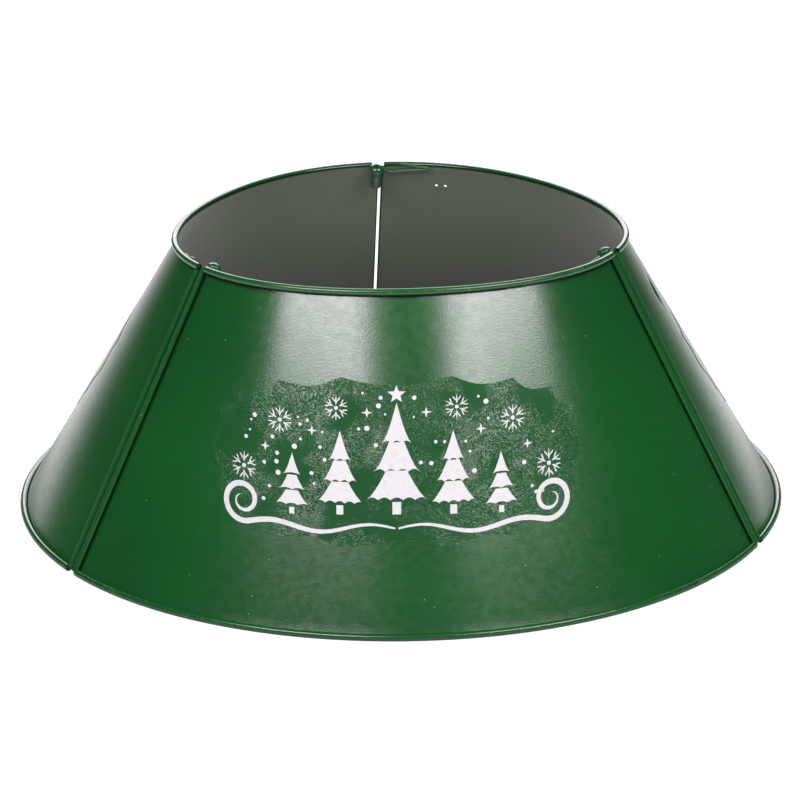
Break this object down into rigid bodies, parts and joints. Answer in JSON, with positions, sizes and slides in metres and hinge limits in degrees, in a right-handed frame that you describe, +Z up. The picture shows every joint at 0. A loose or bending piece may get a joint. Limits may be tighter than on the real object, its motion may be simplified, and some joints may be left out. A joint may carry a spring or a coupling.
{
  "type": "christmas tree collar",
  "caption": "Open cone of green enamelled steel panels with wired edges, screwed together at their seams, that hides the foot of a tree.",
  "frame": {"origin": "middle of the collar on the floor it stands on", "axes": "+Z up along the tree's trunk, -Y out of the middle of the front panel, +X to the right seen from the front"},
  "size_m": [0.65, 0.6499, 0.2377],
  "materials": {
    "green_enamel": "satin enamel with fine orange peel",
    "rim_wire": "enamelled wire inside the rolled edges",
    "hook_wire": "enamelled wire",
    "hinge_knuckle": "satin enamel",
    "seam_screw": "glossy enamel",
    "seam_washer": "glossy enamel",
    "decal_film": "clear glossy film with a white print"
  },
  "bodies": {
    "front_panel": {"front_panel": "green_enamel", "front_bottom_wire": "rim_wire", "front_top_wire": "rim_wire", "front_left_edge_wire": "rim_wire", "front_right_edge_wire": "rim_wire", "front_decal": "decal_film", "front_left_upper_screw": "seam_screw", "front_left_upper_washer": "seam_washer", "front_left_upper_knuckle": "hinge_knuckle", "front_left_lower_screw": "seam_screw", "front_left_lower_washer": "seam_washer", "front_left_lower_knuckle": "hinge_knuckle", "front_right_upper_eye": "hook_wire", "front_right_lower_eye": "hook_wire"},
    "right_panel": {"right_panel": "green_enamel", "right_bottom_wire": "rim_wire", "right_top_wire": "rim_wire", "right_left_edge_wire": "rim_wire", "right_right_edge_wire": "rim_wire", "right_decal": "decal_film", "front_right_upper_screw": "seam_screw", "front_right_upper_washer": "seam_washer", "front_right_upper_knuckle": "hinge_knuckle", "front_right_lower_screw": "seam_screw", "front_right_lower_washer": "seam_washer", "front_right_lower_knuckle": "hinge_knuckle", "back_upper_hook": "hook_wire", "back_lower_hook": "hook_wire"},
    "left_panel": {"left_panel": "green_enamel", "left_bottom_wire": "rim_wire", "left_top_wire": "rim_wire", "left_left_edge_wire": "rim_wire", "left_right_edge_wire": "rim_wire", "left_decal": "decal_film", "front_left_upper_eye": "hook_wire", "front_left_lower_eye": "hook_wire", "back_upper_knuckle": "hinge_knuckle", "back_lower_knuckle": "hinge_knuckle"},
    "upper_closure_screw": {"back_upper_screw": "seam_screw", "back_upper_washer": "seam_washer"},
    "lower_closure_screw": {"back_lower_screw": "seam_screw", "back_lower_washer": "seam_washer"}
  },
  "joints": [
    {"name": "left_panel_hinge", "type": "hinge", "parent": "front_panel", "child": "left_panel", "pos_m": [-0.15794, -0.09581, 0.22915], "axis": [0.4234, 0.2444, 0.8724], "range_deg": [0, 14]},
    {"name": "right_panel_hinge", "type": "hinge", "parent": "front_panel", "child": "right_panel", "pos_m": [0.16194, -0.08888, 0.22915], "axis": [0.4234, -0.2444, -0.8724], "range_deg": [0, 14]},
    {"name": "upper_screw_slide", "type": "slide", "parent": "left_panel", "child": "upper_closure_screw", "axis": [0, -0.4889, 0.8724], "range_m": [0, 0.022]},
    {"name": "lower_screw_slide", "type": "slide", "parent": "left_panel", "child": "lower_closure_screw", "axis": [0, -0.4889, 0.8724], "range_m": [0, 0.022]}
  ]
}
